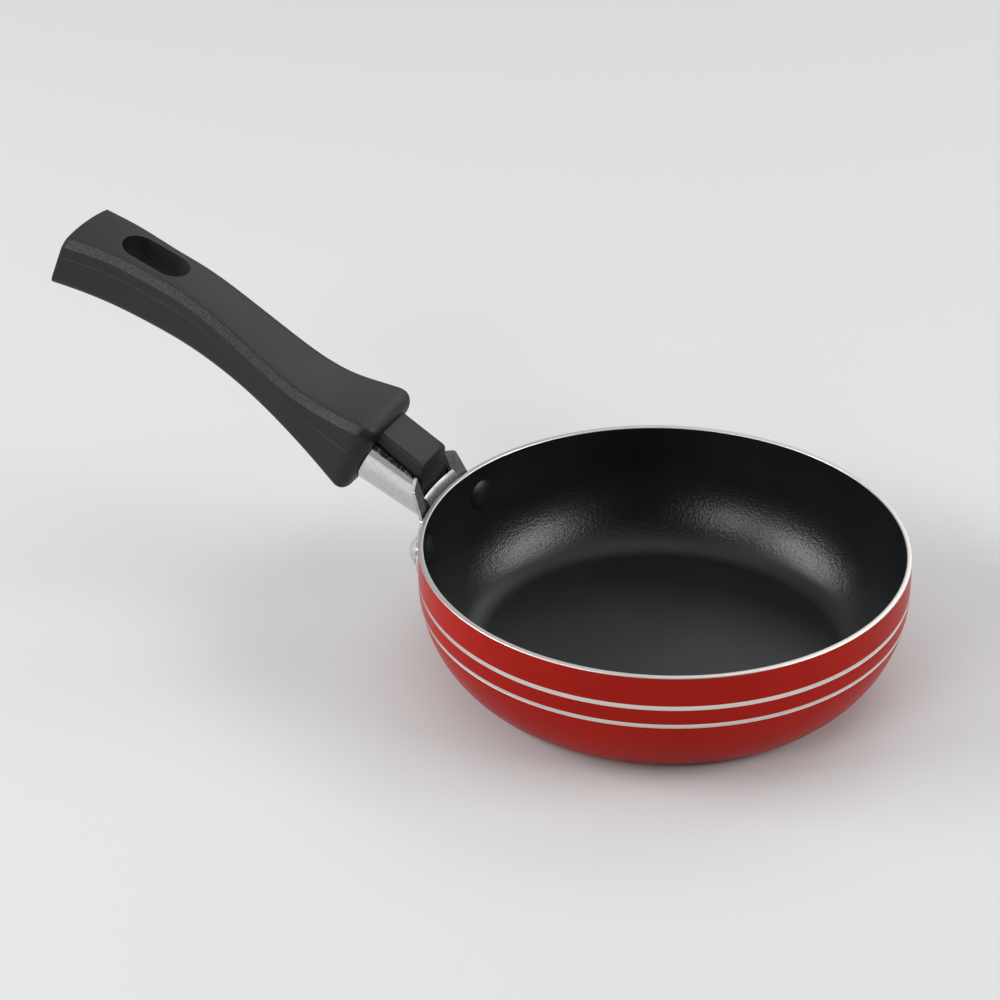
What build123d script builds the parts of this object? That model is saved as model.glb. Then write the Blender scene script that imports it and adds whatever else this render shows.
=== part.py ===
from build123d import *
import os
from math import atan2, cos, degrees, radians, sin, sqrt, tan

# A small omelette pan: a pressed aluminium bowl, a chromed steel bracket riveted to its
# wall, and a phenolic grip whose tongue sits in the bracket's sleeve. Millimetres, +Z up,
# origin at the centre of the base on the surface it stands on, handle along -X.

# Pan body
rim_radius = 88.0                # inside of the rim
rim_thickness = 2.0
floor_thickness = 3.0
pan_height = 48.5
side_radius = 43.0               # outside of the side
side_sweep = 45.88               # degrees that the side curves through before the heel
heel_radius = 15.0               # outside, where the side rolls under to the base
rim_edge = 0.35                  # broken edge round both sides of the machined rim
line_drop = 12.4                 # from the rim to the middle of the upper turned line
line_pitch = 7.75
line_count = 2
line_height = 1.7
line_depth = 0.25
base_ring_inner = 22.0           # radius of the smallest ring turned in the base
base_ring_pitch = 12.0
base_ring_count = 4
base_ring_width = 1.6
base_ring_depth = 0.3

# Rivets
rivet_angle = 15.0               # degrees, each side of the handle
rivet_drop = 12.4                # from the rim down to the rivets
rivet_shank = 5.0                # diameter
rivet_head = 11.0                # diameter of the head outside
rivet_head_height = 2.9
rivet_head_flat = 5.6            # diameter of the flat on the head outside
rivet_head_edge = 0.9
inner_head = 12.4                # diameter of the low domed head inside
inner_head_height = 1.9
rivet_clearance = 0.1

# Bracket
sheet = 1.3
seat_gap = 0.1                   # between parts that are clamped together
wing_radius = 8.5                # round end of each wing
saddle_drop = 23.5               # from the rim down to the saddle's lower edge
lean_start_drop = 4.0            # from the rim down to where the wings lean away
lean_angle = 20.5                # degrees
ear_rise = 8.1                   # corner of each wing above the rim
ear_lean = 2.7                   # and how far it is inside the shoulder below it
ear_radius = 2.0
shoulder_run = 3.1               # from the rivet's line in to the shoulder
wing_blend = 3.0
lip_drop = 2.5                   # from the tongue's top down to the wings' upper edge, at the wall
nose_radius = 3.6                # the saddle's top edge turns out over the wall
nose_angle = 72.0                # degrees
nose_start_drop = 0.6
sleeve_back_radius = 13.7
sleeve_front_radius = 12.7
sleeve_back_drop = 13.05         # from the tongue's top down to the sleeve's axis
sleeve_front_drop = 12.3
sleeve_opening = 21.8            # across the open top
sleeve_length = 20.2
sleeve_end_gap = 0.3

# Grip
tongue_slope = 30.0              # degrees
tongue_stand = 20.2              # from the wall out to the tongue's root
tongue_rise = 24.65              # top of the tongue's root above the rim
tongue_width = 19.8
tongue_edge = 1.3
tongue_nose_gap = 0.41           # between the tongue's end and the saddle's rolled edge
tongue_clearance = 0.3
tongue_root = 6.0                # length moulded into the bolster
grip_lead = 6.2                  # from the tongue's root forward to the first station
grip_reach = 148.0               # from the first station to the last
tail_trim = 13.1                 # from the last station forward to the tail's upper corner
grip_end_slope = 22.0            # degrees that the tail's face leans from upright
grip_end_bulge = 2.6
ridge_rise = 54.9                # rise of the ridge from the first station to the last
ridge_start = 25.6               # the ridge above the rim at the first station
bolster_width = 40.5
bolster_depth = 45.8
band_width = 2.7                 # chamfer between the top and the sides, across and down
crown = 0.7
side_draft = 1.2
belly_radius = 3.6
bolster_corner = 7.0             # rounding in plan
bolster_brow = 6.0               # rounding of the bolster's upper edge
bolster_lobe = 3.0               # rounding of the bolster's lower edge
bolster_trim = 15.0              # length of the bolster that the rounding reaches
brow_rise = 5.6                  # bolster's upper corner above the tongue's root
brow_slope = 10.0                # degrees
lobe_drop = 32.6                 # bolster's lower corner below the tongue's root
lobe_slope = 41.0                # degrees
bolster_half = 20.4              # half the bolster's width at its end
bolster_turn = 3.0               # degrees that its sides close in, seen from above
bolster_draft = 4.0              # and seen from the end
bolster_lean = 1.5               # degrees that its end leans from square with the tongue
slot_place = 27.8                # from the tail's corner to the middle of the hanging slot
slot_length = 28.2
slot_width = 15.0
slot_slope = 19.0                # degrees
ridge_shares = (0, .047, .102, .215, .381, .552, .698, .80, .894, .954, 1)
width_shares = (1, .941, .842, .78, .723, .677, .664, .681, .738, .835, .938)
depth_shares = (1, .765, .551, .416, .382, .40, .422, .424, .426, .407, .395)

# Handle screw and its insert
screw_place = 11.5               # along the sleeve from its back end
screw_shank = 5.0
screw_length = 13.0
screw_head = 9.2
screw_recess = 4.4
screw_recess_width = 1.1
screw_recess_depth = 1.7
screw_hole_spare = 0.6           # past the screw's end
insert_diameter = 8.0
insert_length = 8.5
insert_groove = 2.4              # ring round the insert's middle that the moulding fills
insert_groove_depth = 0.8
thread_clearance = 0.05

overrun = 20.0                   # how far a cutting shape runs past what it cuts

FOOT = (Align.CENTER, Align.CENTER, Align.MIN)
NOSE = (Align.MIN, Align.CENTER, Align.CENTER)

wall_radius = rim_radius + rim_thickness
side_level = heel_radius + (side_radius - heel_radius) * sin(radians(side_sweep))
rivet_level = pan_height - rivet_drop
tongue_reach = wall_radius + tongue_stand
roll_reach = nose_radius - (nose_radius - sheet) * cos(radians(nose_angle))
tongue_nose_reach = wall_radius + seat_gap + roll_reach + tongue_nose_gap
lip_rise = tongue_rise - tongue_stand * tan(radians(tongue_slope)) - lip_drop
grip_start = tongue_reach - grip_lead
grip_end_reach = grip_start + grip_reach - tail_trim
slot_reach = grip_end_reach - slot_place


def bowl_curve(top_radius, side_bend, heel_bend, floor_level):
    """The wall's lower part as two tangent arcs, from the upright wall to the flat floor."""
    reach = side_bend - heel_bend
    rise = side_level - floor_level - heel_bend
    run = sqrt(reach**2 - rise**2)
    heel_x = top_radius - side_bend + run
    lean = atan2(rise, run)
    meeting = (heel_x + heel_bend * cos(lean), floor_level + heel_bend - heel_bend * sin(lean))
    side = TangentArc((top_radius, side_level), meeting, tangent=(0, -1))
    heel = TangentArc(meeting, (heel_x, floor_level), tangent=side % 1)
    return side, heel


def outer_curve(grow):
    """The bowl's outer curve, moved outwards."""
    return bowl_curve(wall_radius + grow, side_radius + grow, heel_radius + grow, -grow)


def turned(*edges):
    """A closed profile in the XZ plane, turned about the pan's axis."""
    return revolve(Plane.XZ * make_face(edges), Axis.Z)


def pan_profile():
    outer = outer_curve(0)
    inner_side = side_radius - rim_thickness
    inner_heel = heel_radius - rim_thickness
    inner = bowl_curve(rim_radius, inner_side, inner_heel, floor_thickness)
    outer_top = outer[0] @ 0
    inner_top = inner[0] @ 0
    rim = Polyline(
        outer_top,
        (wall_radius, pan_height - rim_edge),
        (wall_radius - rim_edge, pan_height),
        (rim_radius + rim_edge, pan_height),
        (rim_radius, pan_height - rim_edge),
        inner_top,
    )
    floor = Polyline(inner[1] @ 1, (0, floor_thickness), (0, 0), outer[1] @ 1)
    return [*outer, rim, *inner, floor]


def ring_cut(radius, level, width, height):
    """A rectangular ring, to turn a groove."""
    corners = [
        (radius, level), (radius + width, level),
        (radius + width, level + height), (radius, level + height),
    ]
    return turned(Polyline(*corners, close=True))


def turned_lines():
    """The shallow grooves turned through the lacquer, which follow the wall."""
    shell = turned(*wall_section(overrun, pan_height)) - turned(*wall_section(-line_depth, pan_height))
    bands = []
    for index in range(line_count):
        level = pan_height - line_drop - index * line_pitch - line_height / 2
        bands.append(Pos(0, 0, level) * Cylinder(wall_radius * 2, line_height, align=FOOT))
    return [band & shell for band in bands]


def wall_section(grow, top):
    """The solid section inside the wall's outer curve, moved outwards."""
    curve = outer_curve(grow)
    foot = curve[1] @ 1
    cap = Polyline(foot, (0, foot.Y), (0, top), (wall_radius + grow, top), curve[0] @ 0)
    return [*curve, cap]


def rivet_places():
    """Radial places on the wall's outside, each with its Z axis pointing outwards."""
    for side in (-1, 1):
        turn = Rot(0, 0, 180 + side * rivet_angle)
        yield turn * Pos(wall_radius, 0, rivet_level) * Rot(0, 90, 0)


def rivet_hole():
    return Cylinder(rivet_shank / 2 + rivet_clearance, overrun * 2)


def pan_body():
    body = turned(*pan_profile())
    for groove in turned_lines():
        body -= groove
    for index in range(base_ring_count):
        inner = base_ring_inner + index * base_ring_pitch
        body -= ring_cut(inner, 0, base_ring_width, base_ring_depth)
    for place in rivet_places():
        body -= place * rivet_hole()
    return body


def rivet():
    """A solid rivet: a low domed head inside the pan, a bevelled head outside."""
    dome_base = -rim_thickness - seat_gap
    apex = dome_base - inner_head_height
    cap = ThreePointArc((inner_head / 2, dome_base), (0, apex), (-inner_head / 2, dome_base))
    dome_edge = cap.trim(0, 1 / 2)
    dome = turned(dome_edge, Polyline((0, apex), (0, 0), (inner_head / 2, 0), dome_edge @ 0))
    head_base = 2 * seat_gap + sheet
    head_top = head_base + rivet_head_height
    head = turned(Polyline(
        (0, 0),
        (0, head_top),
        (rivet_head_flat / 2, head_top),
        (rivet_head / 2, head_base + rivet_head_edge),
        (rivet_head / 2, 0),
        close=True,
    ))
    return dome, head


def rivets():
    """Both rivets, their heads hollowed to sit on the wall and on the bracket."""
    inside = turned(*wall_section(-rim_thickness - seat_gap, pan_height))
    outside = turned(*wall_section(2 * seat_gap + sheet, pan_height))
    middle = Pos(0, 0, (sheet - rim_thickness) / 2)
    shank = Cylinder(rivet_shank / 2, rim_thickness + sheet + inner_head_height)
    made = []
    for place in rivet_places():
        dome, head = rivet()
        made.append(((place * dome) & inside) + ((place * head) - outside) + place * middle * shank)
    return Compound(children=made)


def leaning_form(grow):
    """What the wings bear on: the wall, then a cone that leans away from it."""
    curve = outer_curve(grow)
    foot = curve[1] @ 1
    start = pan_height - lean_start_drop
    rise = lean_start_drop + lip_rise + overrun
    top_radius = wall_radius + grow + rise * tan(radians(lean_angle))
    cap = Polyline(
        foot, (0, foot.Y), (0, start + rise), (top_radius, start + rise),
        (wall_radius + grow, start), curve[0] @ 0,
    )
    return turned(*curve, cap)


def wing_outline():
    """The saddle and its two wings, seen along the handle."""
    rivet_out = wall_radius * sin(radians(rivet_angle))
    tip = rivet_out + wing_radius
    wing_top = rivet_level + wing_radius
    bottom = pan_height - saddle_drop
    shoulder = (rivet_out - shoulder_run, wing_top)
    ear = (rivet_out - shoulder_run - ear_lean, pan_height + ear_rise)
    half = [
        (0, bottom), (tip, rivet_level - wing_radius), (tip, wing_top), shoulder, ear,
        (sleeve_opening / 2, pan_height + lip_rise), (0, pan_height + lip_rise),
    ]
    outline = make_face(Polyline(*half, close=True))
    tips = [corner for corner in outline.vertices() if abs(corner.X - tip) < seat_gap]
    outline = fillet(tips, wing_radius - seat_gap)
    outline = fillet(nearest_corner(outline, shoulder), wing_blend)
    outline = fillet(nearest_corner(outline, ear), ear_radius)
    return outline + mirror(outline, Plane.YZ)


def nearest_corner(outline, place):
    return min(outline.vertices(), key=lambda corner: (corner.center() - Vector(*place)).length)


def tongue_place(along):
    """The plane across the tongue, at a distance from its root towards the pan."""
    slope = radians(tongue_slope)
    root = Vector(-tongue_reach, 0, pan_height + tongue_rise)
    forward = Vector(cos(slope), 0, -sin(slope))
    return Plane(origin=root + forward * along, x_dir=(0, 1, 0), z_dir=forward)


def sleeve_axis(along):
    """How far the sleeve's axis is below the tongue's top, and the sleeve's radius."""
    share = along / sleeve_length
    drop = sleeve_back_drop + (sleeve_front_drop - sleeve_back_drop) * share
    radius = sleeve_back_radius + (sleeve_front_radius - sleeve_back_radius) * share
    return drop, radius


def sleeve_core(shrink, start, end):
    """The sleeve's tapering round form, made smaller all round."""
    discs = []
    for along in (start, end):
        drop, radius = sleeve_axis(along)
        discs.append(tongue_place(along) * Pos(0, -drop) * Circle(radius - shrink))
    return loft(discs)


def bolster_face(gap):
    """The bolster's end face, which leans a little, at a gap in front of it."""
    face = tongue_place(gap)
    return Plane(face.location * Rot(-bolster_lean, 0, 0))


def sleeve():
    start = -sleeve_length / 4
    end = sleeve_length + overrun
    tube = sleeve_core(0, start, end) - sleeve_core(sheet, start, end)
    slot = Rectangle(sleeve_opening, sleeve_back_drop * 2, align=(Align.CENTER, Align.MIN))
    tube -= extrude(tongue_place(0) * Pos(0, -sleeve_back_drop) * slot, end + overrun, both=True)
    behind = Box(wall_radius, wall_radius, overrun, align=(Align.CENTER, Align.CENTER, Align.MAX))
    return tube - bolster_face(sleeve_end_gap) * behind


def nose_lip():
    """The saddle's top edge between the sleeve's sides, turned out under the tongue."""
    face = wall_radius + seat_gap
    foot = pan_height - lean_start_drop
    centre = Vector(face + nose_radius, pan_height - nose_start_drop)
    face_arc = CenterArc(centre, nose_radius, 180 - nose_angle, nose_angle)
    back_arc = CenterArc(centre, nose_radius - sheet, 180 - nose_angle, nose_angle)
    stem = Polyline(face_arc @ 1, (face, foot), (face + sheet, foot), back_arc @ 1)
    edges = [face_arc, back_arc, Line(face_arc @ 0, back_arc @ 0), stem]
    inside = sleeve_front_radius * 2 - sheet
    band = Pos(-wall_radius, 0, pan_height) * Box(wall_radius, inside, wall_radius)
    return turned(*edges) & band


def screw_axis():
    """A place under the sleeve, with its Z axis pointing up into the tongue."""
    across = tongue_place(screw_place)
    drop, radius = sleeve_axis(screw_place)
    up = across.y_dir
    return Plane(origin=across.origin - up * (drop + radius), x_dir=(0, 1, 0), z_dir=up)


def countersink(grow):
    """The room that the screw's head takes, with some to spare."""
    rise = (screw_head - screw_shank) / 2
    radius = screw_head / 2 + grow
    cone = Cone(radius, radius - rise, rise, align=FOOT)
    mouth = Cylinder(radius, overrun, align=(Align.CENTER, Align.CENTER, Align.MAX))
    return cone + mouth


def handle_bracket():
    bears_on = leaning_form(seat_gap)
    outside = leaning_form(seat_gap + sheet)
    outline = extrude(Plane.YZ * wing_outline(), -wall_radius * 2)
    plate = (outside - bears_on) & outline
    inside = (sleeve_front_radius - sheet) * 2
    window = Pos(-wall_radius, 0, pan_height - lean_start_drop)
    plate -= window * Box(wall_radius, inside, wall_radius, align=FOOT)
    tube = sleeve() - leaning_form(seat_gap + sheet / 2)
    bracket = plate + tube + nose_lip()
    for place in rivet_places():
        bracket -= place * rivet_hole()
    axis = screw_axis()
    bracket -= axis * countersink(seat_gap)
    bracket -= axis * Cylinder(screw_shank / 2 + rivet_clearance, sheet * 3)
    return bracket


def grip_section(index):
    """One upright section of the grip: crowned top, chamfer bands, drafted sides, round belly."""
    pitch = grip_reach / (len(ridge_shares) - 1)
    reach = grip_start + index * pitch
    ridge = pan_height + ridge_start + ridge_rise * ridge_shares[index]
    half = bolster_width * width_shares[index] / 2
    belly = ridge - bolster_depth * depth_shares[index]
    foot = half - side_draft
    top = ridge + band_width
    diagonal = belly_radius * (1 - sin(radians(45)))
    crown_arc = ThreePointArc((-half + band_width, top), (0, top + crown), (half - band_width, top))
    right = Line((half - band_width, top), (half, ridge)), Line((half, ridge), (foot, belly + belly_radius))
    right_corner = ThreePointArc(
        (foot, belly + belly_radius), (foot - diagonal, belly + diagonal), (foot - belly_radius, belly)
    )
    left = [mirror(edge, Plane.YZ) for edge in (*right, right_corner)]
    bottom = Line((foot - belly_radius, belly), (belly_radius - foot, belly))
    face = make_face([crown_arc, *right, right_corner, bottom, *left])
    return Plane(origin=(-reach, 0, 0), x_dir=(0, 1, 0), z_dir=(1, 0, 0)) * face


def side_plane(side):
    """The plane of one side of the bolster, facing outwards."""
    corner = bolster_face(0).location * Pos(side * bolster_half, 0, 0)
    return Plane(corner * Rot(0, side * bolster_turn, 0) * Rot(0, 0, -side * bolster_draft))


def bolster_form():
    """A block with large round corners, which the bolster's end is trimmed to."""
    root = Vector(-tongue_reach, pan_height + tongue_rise)
    lean = radians(tongue_slope - bolster_lean)
    up = Vector(sin(lean), cos(lean))
    brow = root + up * brow_rise
    lobe = root - up * lobe_drop
    length = bolster_trim * 3
    behind_brow = brow + Vector(-cos(radians(brow_slope)), sin(radians(brow_slope))) * length
    behind_lobe = lobe + Vector(-cos(radians(lobe_slope)), sin(radians(lobe_slope))) * length
    side_view = make_face(Polyline(brow, behind_brow, behind_lobe, lobe, close=True))
    block = extrude(Plane.XZ * side_view, bolster_width, both=True)
    for side in (-1, 1):
        block -= side_plane(side) * Pos(side * length / 2, 0, 0) * Box(length, length * 4, length * 4)
    block = fillet(front_edges(block, upright=True), bolster_corner)
    block = fillet(front_edges(block, upright=False)[-1], bolster_brow)
    return fillet(front_edges(block, upright=False)[0], bolster_lobe)


def front_edges(block, upright):
    """The edges of a block on the bolster's end face, its sides or its foot and brow."""
    face = bolster_face(0)
    near = [edge for edge in block.edges() if abs(face.to_local_coords(edge.center()).Z) < seat_gap]
    chosen = [edge for edge in near if (abs(edge.center().Y) > bolster_half / 4) == upright]
    return sorted(chosen, key=lambda edge: edge.center().Z)


def tail_cut():
    """What is cut off behind the tail: a leaning, bowed face."""
    half = bolster_width * width_shares[-1] / 2
    bow = (half**2 + grip_end_bulge**2) / (2 * grip_end_bulge)
    ridge = pan_height + ridge_start + ridge_rise
    tip = Pos(-grip_end_reach - grip_end_bulge, 0, ridge) * Rot(0, grip_end_slope, 0)
    room = Box(overrun * 2, bolster_width * 2, bolster_depth * 3)
    behind = Pos(grip_end_bulge * 2 - overrun, 0, 0) * room
    return tip * (behind - Pos(bow, 0, 0) * Cylinder(bow, bolster_depth * 4))


def hanging_slot():
    slot = SlotOverall(slot_length, slot_width)
    slope = radians(slot_slope)
    level = pan_height + ridge_start + ridge_rise - bolster_depth / 4
    place = Plane(
        origin=(-slot_reach, 0, level),
        x_dir=(-cos(slope), 0, sin(slope)),
        z_dir=(sin(slope), 0, cos(slope)),
    )
    return extrude(place * slot, bolster_depth, both=True)


def handle_grip():
    """The waisted grip, its flared bolster, and the tongue that fills the sleeve."""
    grip = loft([grip_section(index) for index in range(len(ridge_shares))])
    room = wall_radius * 2
    rear = bolster_face(-bolster_trim) * Pos(0, 0, -room / 2) * Box(room, room, room)
    grip = (grip & rear) + ((grip - rear) & bolster_form())
    grip -= tail_cut()
    grip -= hanging_slot()
    return grip + tongue()


def tongue():
    """The tongue: flat on top, round below to lie in the sleeve, cut off short of the wall."""
    block = Rectangle(tongue_width, sleeve_front_drop, align=(Align.CENTER, Align.MAX))
    block = chamfer(block.vertices().group_by(Axis.Y)[-1], tongue_edge)
    end = sleeve_length + overrun
    body = extrude(tongue_place(-tongue_root) * block, tongue_root + end)
    body += sleeve_core(sheet + tongue_clearance, -tongue_root, end)
    body -= Pos(-tongue_nose_reach, 0, 0) * Box(wall_radius, wall_radius, wall_radius * 4, align=NOSE)
    axis = screw_axis()
    body -= axis * countersink(seat_gap)
    body -= axis * Cylinder(screw_shank / 2 + rivet_clearance, screw_length + screw_hole_spare, align=FOOT)
    return body - insert_blank()


def insert_blank():
    """The insert's outside, which the tongue is moulded round."""
    blank = insert_place() * Cylinder(insert_diameter / 2, insert_length, align=FOOT)
    outer = Cylinder(insert_diameter, insert_groove)
    inner = Cylinder(insert_diameter / 2 - insert_groove_depth, insert_groove)
    return blank - insert_place() * Pos(0, 0, insert_length / 2) * (outer - inner)


def insert_place():
    return screw_axis().location * Pos(0, 0, (screw_head - screw_shank) / 2 + seat_gap)


def threaded_insert():
    return insert_blank() - screw_axis() * Cylinder(screw_shank / 2, screw_length * 2)


def handle_screw():
    """A countersunk machine screw with a cross recess, its head flush with the sleeve."""
    rise = (screw_head - screw_shank) / 2
    screw = Cone(screw_head / 2, screw_shank / 2 - thread_clearance, rise, align=FOOT)
    screw += Cylinder(screw_shank / 2 - thread_clearance, screw_length, align=FOOT)
    for turn in (0, 90):
        screw -= Rot(0, 0, turn) * Box(screw_recess, screw_recess_width, screw_recess_depth, align=FOOT)
    return screw_axis() * screw


parts = {
    "pan_body": pan_body,
    "rivets": rivets,
    "handle_bracket": handle_bracket,
    "handle_grip": handle_grip,
    "handle_screw": handle_screw,
    "threaded_insert": threaded_insert,
}

os.makedirs("parts", exist_ok=True)
for name, build in parts.items():
    export_step(build(), f"parts/{name}.step")
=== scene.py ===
"""A red omelette pan with a black waisted handle, dressed over its CAD frame.

Laid out as an add-on and run as a script inside Blender. Sizes in the helpers are in
millimetres in the part's own frame (+Z up, handle along -X), and become metres when a
mesh is made. Places and sizes on the stage are in metres.
"""

import math

import bmesh
import bpy
import numpy as np
from bpy.props import FloatProperty, FloatVectorProperty, IntProperty, PointerProperty
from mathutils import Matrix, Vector


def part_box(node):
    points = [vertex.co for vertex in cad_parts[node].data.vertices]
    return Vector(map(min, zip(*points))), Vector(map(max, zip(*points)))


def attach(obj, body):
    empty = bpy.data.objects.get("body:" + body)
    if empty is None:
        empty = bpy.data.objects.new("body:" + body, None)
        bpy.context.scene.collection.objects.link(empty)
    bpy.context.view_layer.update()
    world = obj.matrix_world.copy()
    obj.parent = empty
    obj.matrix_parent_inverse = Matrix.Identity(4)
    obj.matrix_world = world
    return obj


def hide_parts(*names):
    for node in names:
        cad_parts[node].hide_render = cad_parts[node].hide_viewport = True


bl_info = {
    "name": "Omelette Pan",
    "version": (1, 0, 0),
    "blender": (4, 5, 0),
    "location": "View3D > Sidebar > Omelette Pan",
    "description": "Lathe-turned bowl, riveted bracket and moulded grip of a small omelette pan",
    "category": "Add Mesh",
}

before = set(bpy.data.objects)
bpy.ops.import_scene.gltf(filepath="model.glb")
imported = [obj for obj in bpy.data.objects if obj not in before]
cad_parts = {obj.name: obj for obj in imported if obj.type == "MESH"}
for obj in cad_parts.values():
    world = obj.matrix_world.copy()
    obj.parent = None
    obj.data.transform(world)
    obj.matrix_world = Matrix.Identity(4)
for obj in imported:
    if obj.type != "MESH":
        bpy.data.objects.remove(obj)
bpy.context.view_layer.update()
MILLIMETRE = 0.001
BODY = "root"
PAN_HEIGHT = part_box("pan_body")[1].z / MILLIMETRE
WALL_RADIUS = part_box("pan_body")[1].x / MILLIMETRE


# ---------- shader expressions


class Signal:
    """A node's output socket that takes part in plain arithmetic."""

    def __init__(self, finish, socket):
        self.finish = finish
        self.socket = socket

    def __add__(self, other):
        return self.maths("ADD", self, other)

    __radd__ = __add__

    def __sub__(self, other):
        return self.maths("SUBTRACT", self, other)

    def __rsub__(self, other):
        return self.maths("SUBTRACT", other, self)

    def __mul__(self, other):
        return self.maths("MULTIPLY", self, other)

    __rmul__ = __mul__

    def __truediv__(self, other):
        return self.maths("DIVIDE", self, other)

    def __pow__(self, other):
        return self.maths("POWER", self, other)

    def __neg__(self):
        return self * -1.0

    def maths(self, operation, first, second):
        values = {0: first, 1: second}
        return self.finish.signal("ShaderNodeMath", {"operation": operation}, values)

    def ramp(self, low, high):
        """Eases from 0 at low to 1 at high, which may be the smaller of the two."""
        values = {"Value": self, "From Min": low, "From Max": high}
        settings = {"interpolation_type": "SMOOTHSTEP", "clamp": True}
        return self.finish.signal("ShaderNodeMapRange", settings, values)


class Finish:
    """One material's node tree, with a Principled shader at its end."""

    def __init__(self, name, **constants):
        self.material = bpy.data.materials.new(name)
        self.material.use_nodes = True
        self.tree = self.material.node_tree
        self.tree.nodes.clear()
        output = self.node("ShaderNodeOutputMaterial")
        self.shader = self.node("ShaderNodeBsdfPrincipled")
        self.tree.links.new(self.shader.outputs[0], output.inputs["Surface"])
        self.set_shader(**constants)

    def feed(self, node, name, value):
        """Gives a socket a link, a colour or a plain value."""
        socket = node.inputs[name]
        if isinstance(value, Signal):
            self.tree.links.new(value.socket, socket)
        elif socket.type == "RGBA":
            socket.default_value = (*value, 1.0)
        else:
            socket.default_value = value

    def node(self, kind, settings=None, values=None):
        """Adds a node: its settings are set first, then its sockets get values or links."""
        node = self.tree.nodes.new(kind)
        for name, value in (settings or {}).items():
            setattr(node, name, value)
        for name, value in (values or {}).items():
            self.feed(node, name, value)
        return node

    def signal(self, kind, settings=None, values=None, output=0):
        return Signal(self, self.node(kind, settings, values).outputs[output])

    def place(self):
        """Object coordinates, which are the part's own frame in metres."""
        return self.signal("ShaderNodeTexCoord", output="Object")

    def split(self, vector):
        node = self.node("ShaderNodeSeparateXYZ", values={0: vector})
        return [Signal(self, socket) for socket in node.outputs]

    def join(self, x, y, z):
        return self.signal("ShaderNodeCombineXYZ", values={0: x, 1: y, 2: z})

    def scaled(self, vector, x, y, z):
        values = {0: vector, 1: (x, y, z)}
        return self.signal("ShaderNodeVectorMath", {"operation": "MULTIPLY"}, values)

    def noise(self, vector, scale, detail=2.0, roughness=0.5, distortion=0.0):
        values = {
            "Vector": vector, "Scale": scale, "Detail": detail,
            "Roughness": roughness, "Distortion": distortion,
        }
        return self.signal("ShaderNodeTexNoise", {"normalize": True}, values)

    def cells(self, vector, scale, feature="F1"):
        values = {"Vector": vector, "Scale": scale}
        return self.signal("ShaderNodeTexVoronoi", {"feature": feature}, values)

    def mix(self, share, first, second):
        """Blends two colours; the sockets are numbered as they are for colours."""
        settings = {"data_type": "RGBA", "blend_type": "MIX"}
        return self.signal("ShaderNodeMix", settings, {0: share, 6: first, 7: second}, output=2)

    def bump(self, height, distance, strength):
        values = {"Height": height, "Distance": distance, "Strength": strength}
        return self.signal("ShaderNodeBump", values=values)

    def set_shader(self, **inputs):
        """Sets or links the shader's inputs: coat_ior is its Coat IOR."""
        for name, value in inputs.items():
            self.feed(self.shader, name.replace("_", " ").title().replace("Ior", "IOR"), value)

    def wear(self, base, roughness, normal, **inputs):
        """Links what varies over the surface and gives the finished material."""
        self.set_shader(base_color=base, roughness=roughness, normal=normal, **inputs)
        return self.material


def round_axis(finish):
    """The three object coordinates and the distance from the bowl's axis, in metres."""
    x, y, z = finish.split(finish.place())
    return x, y, z, (x * x + y * y) ** 0.5


def normals(finish):
    """The three parts of the surface's direction."""
    return finish.split(finish.signal("ShaderNodeNewGeometry", output="Normal"))


def tint(colour, share, lift=0.0):
    """A darker or paler shade of a colour."""
    return tuple(min(1.0, channel * share + lift) for channel in colour)


def metres(*lengths):
    return [length * MILLIMETRE for length in lengths]


# ---------- materials


# Bounds in millimetres between which a finish changes
FLOOR_TO_WALL = (3.5, 9.0)  # heights in the bowl
SMOOTH_TO_ROUGH = (-113.0, -121.0)  # places along the grip's edge bands
# the next two bound where the chrome gets painted shade close to the wall, under the rim
CLEAR_TO_SHADE_UNDER_RIM = (7.5, 3.5)  # outwards from the wall
SHADED_TO_TOP = (7.0, 3.0)  # down from the rim
BARE_TO_COATED = (1.0, 1.2)  # inwards from the wall's outside
TOOL_LINES, LINE_DRIFT = 9000.0, 3.0  # a lathe tool's marks for each metre, and their unevenness


def lacquer_finish(colour):
    """Glossy red lacquer over pressed aluminium, with faint orange peel and small flecks."""
    finish = Finish(
        "red_lacquer", coat_weight=0.4, coat_roughness=0.1, coat_ior=1.22, ior=1.2,
        specular_ior_level=0.1,
    )
    place = finish.place()
    cloud = finish.noise(place, 22.0, detail=3.0)
    fleck = finish.noise(place, 2600.0, detail=1.0)
    peel = finish.noise(place, 420.0)
    base = finish.mix(cloud.ramp(0.35, 0.7), tint(colour, 0.86), colour)
    base = finish.mix(fleck.ramp(0.55, 0.8) * 0.3, base, tint(colour, 1.2, 0.008))
    return finish.wear(base, 0.4 + cloud * 0.1, finish.bump(peel + fleck * 0.2, 0.00002, 0.3))


def turned_metal_finish(colour):
    """Bare aluminium with the fine rings that a lathe tool leaves."""
    finish = Finish("turned_rim_metal", metallic=1.0)
    x, y, height, distance = round_axis(finish)
    turn = x.maths("ARCTAN2", y, x)
    along = finish.join(distance * TOOL_LINES, turn * LINE_DRIFT, height * TOOL_LINES)
    rings = finish.noise(along, 1.0)
    cloud = finish.noise(finish.place(), 60.0, detail=3.0)
    base = finish.mix(rings * 0.7 + cloud * 0.3, tint(colour, 0.8), colour)
    roughness = 0.24 + rings * 0.16 + cloud * 0.06
    return finish.wear(base, roughness, finish.bump(rings, 0.00002, 0.3))


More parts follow.
